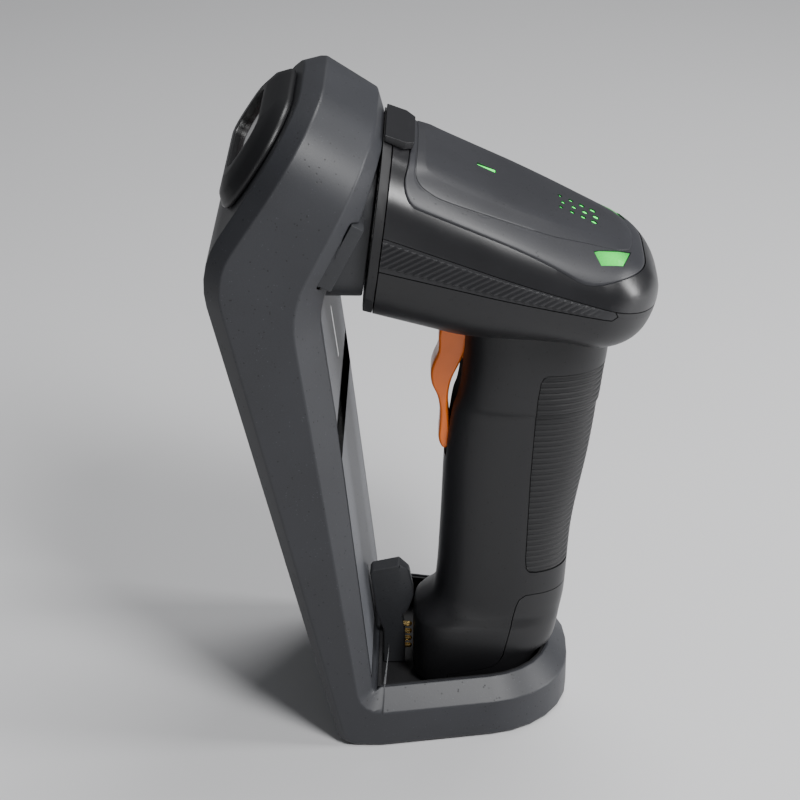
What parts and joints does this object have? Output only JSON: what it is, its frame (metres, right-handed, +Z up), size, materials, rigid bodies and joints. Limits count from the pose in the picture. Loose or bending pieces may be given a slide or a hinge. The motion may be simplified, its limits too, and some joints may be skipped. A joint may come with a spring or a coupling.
{
  "type": "handheld scanner in charging cradle",
  "caption": "Pistol-grip handheld scanner with an orange trigger, standing docked in a tall angled charging cradle with a low rounded base.",
  "frame": {"origin": "middle of the cradle's underside, on the surface it stands on", "axes": "+Z up, the scanner's nose looks towards -Y, the operator's left hand is +X, x = 0 is the plane of symmetry"},
  "size_m": [0.086, 0.1429, 0.2247],
  "materials": {
    "charcoal_shell": "fine textured moulding",
    "grey_cover": "satin",
    "mid_grey": "fine textured moulding",
    "dark_cover": "satin",
    "smooth_black": "satin, smooth",
    "housing_black": "fine textured moulding",
    "black_plastic": "matte",
    "rubber": "textured",
    "smoked_window": "smooth",
    "clear_lens": "frosted",
    "green_light": "lit light guide",
    "orange_trigger": "satin",
    "steel": "plain",
    "gold_plate": "plated",
    "circuit_board": "solder mask",
    "cell_sleeve": "shrink sleeve",
    "lens_barrel": "polished"
  },
  "bodies": {
    "cradle": {"cradle_shell": "charcoal_shell", "cradle_inner_cover": "grey_cover", "dock_status_lens": "clear_lens", "head_cover": "dark_cover", "head_window": "smoked_window", "nose_tunnel": "mid_grey", "base_tray": "black_plastic", "contact_block": "mid_grey", "charge_board": "circuit_board", "power_socket": "steel", "base_plate": "dark_cover", "ballast_plate": "steel", "base_mat": "rubber", "base_screw_1": "steel", "base_screw_2": "steel", "base_screw_3": "steel", "base_screw_4": "steel"},
    "scanner": {"top_shell": "charcoal_shell", "exit_window": "smoked_window", "main_board": "circuit_board", "illumination_board": "circuit_board", "side_grip_left": "rubber", "side_grip_right": "rubber", "grip_rear_panel": "rubber", "window_gasket": "rubber", "bezel_frame": "smooth_black", "nose_tab": "smooth_black", "battery_door": "smooth_black", "nose_frame": "black_plastic", "handle_housing": "housing_black", "engine_bracket": "steel", "scan_engine": "black_plastic", "engine_lens": "lens_barrel", "beeper": "black_plastic", "vibration_motor": "steel", "radio_antenna": "gold_plate", "led_bar": "green_light", "gauge_lights": "green_light", "status_lens_left": "green_light", "status_lens_right": "green_light", "trigger_pin": "steel", "trigger_bracket": "steel", "trigger_spring": "steel", "trigger_switch": "black_plastic", "battery_cell": "cell_sleeve", "battery_contacts": "black_plastic", "charge_contacts": "gold_plate", "board_screw_1": "steel", "board_screw_2": "steel", "board_screw_3": "steel", "board_screw_4": "steel"},
    "trigger": {"trigger": "orange_trigger"},
    "switch_plunger": {"switch_plunger": "orange_trigger"},
    "contact_pin_1": {"contact_pin_1": "gold_plate"},
    "contact_pin_2": {"contact_pin_2": "gold_plate"},
    "contact_pin_3": {"contact_pin_3": "gold_plate"},
    "contact_pin_4": {"contact_pin_4": "gold_plate"}
  },
  "joints": [
    {"name": "scanner_undock", "type": "slide", "parent": "cradle", "child": "scanner", "axis": [0, 0.4695, 0.8829], "range_m": [0, 0.15]},
    {"name": "trigger_pull", "type": "hinge", "parent": "scanner", "child": "trigger", "pos_m": [0, 0.011, 0.1482], "axis": [1, 0, 0], "range_deg": [0, 6], "stiffness_Nm_per_rad": 0.2, "springref_deg": -20.05},
    {"name": "switch_press", "type": "slide", "parent": "scanner", "child": "switch_plunger", "axis": [0, 1, 0], "range_m": [0, 0.0024]},
    {"name": "contact_pin_1_press", "type": "slide", "parent": "cradle", "child": "contact_pin_1", "axis": [0, -1, 0], "range_m": [0, 0.0008], "stiffness_N_per_m": 500, "springref_m": -0.001},
    {"name": "contact_pin_2_press", "type": "slide", "parent": "cradle", "child": "contact_pin_2", "axis": [0, -1, 0], "range_m": [0, 0.0008], "stiffness_N_per_m": 500, "springref_m": -0.001},
    {"name": "contact_pin_3_press", "type": "slide", "parent": "cradle", "child": "contact_pin_3", "axis": [0, -1, 0], "range_m": [0, 0.0008], "stiffness_N_per_m": 500, "springref_m": -0.001},
    {"name": "contact_pin_4_press", "type": "slide", "parent": "cradle", "child": "contact_pin_4", "axis": [0, -1, 0], "range_m": [0, 0.0008], "stiffness_N_per_m": 500, "springref_m": -0.001}
  ],
  "couplings": [
    {"joint": "switch_press", "follows": "trigger_pull", "m_per_rad": 0.0212}
  ]
}
